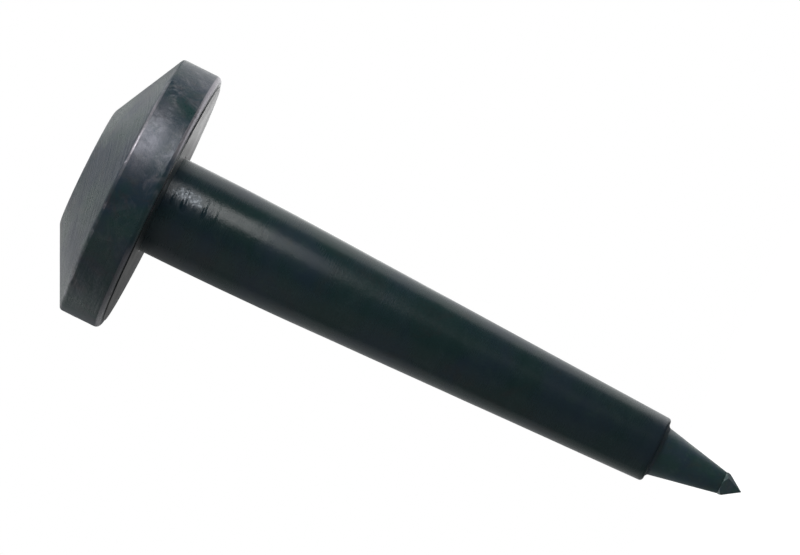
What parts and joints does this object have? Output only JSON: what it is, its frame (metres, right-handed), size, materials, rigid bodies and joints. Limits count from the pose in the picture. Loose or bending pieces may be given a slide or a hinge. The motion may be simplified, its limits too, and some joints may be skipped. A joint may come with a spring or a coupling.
{
  "type": "post anchor spike",
  "caption": "Driven steel anchor spike with a broad truncated-cone striking head, a tapered sleeve and a faceted hardened tip.",
  "frame": {"origin": "on the spike's axis, in the plane of the head's underside, where the head comes to rest on the work", "axes": "+Z along the spike's axis from the tip towards the striking face; the tip points to -Z; +X and +Y are square to the axis, and the facets' ridges stand at 31 degrees and every 90 degrees from +X"},
  "size_m": [0.0766, 0.0766, 0.1999],
  "materials": {
    "blackened_head": "black oxide on turned forged steel, worn bright at the rim's edges",
    "blackened_plate": "black oxide, fine turning marks",
    "blackened_sleeve": "blue-black oxide with oil, satin, chuck marks near the head",
    "hard_washer": "hardened and ground",
    "blackened_pin": "blue-black oxide with oil, ground point",
    "seal_compound": "cured black sealing compound, matt",
    "hardened_tip": "hardened steel, blackened, ground facets"
  },
  "bodies": {
    "root": {"strike_cap": "blackened_head", "bearing_plate": "blackened_plate", "taper_sleeve": "blackened_sleeve", "load_washer": "hard_washer", "core_pin": "blackened_pin", "end_seal": "seal_compound", "tip_insert": "hardened_tip"}
  },
  "joints": []
}
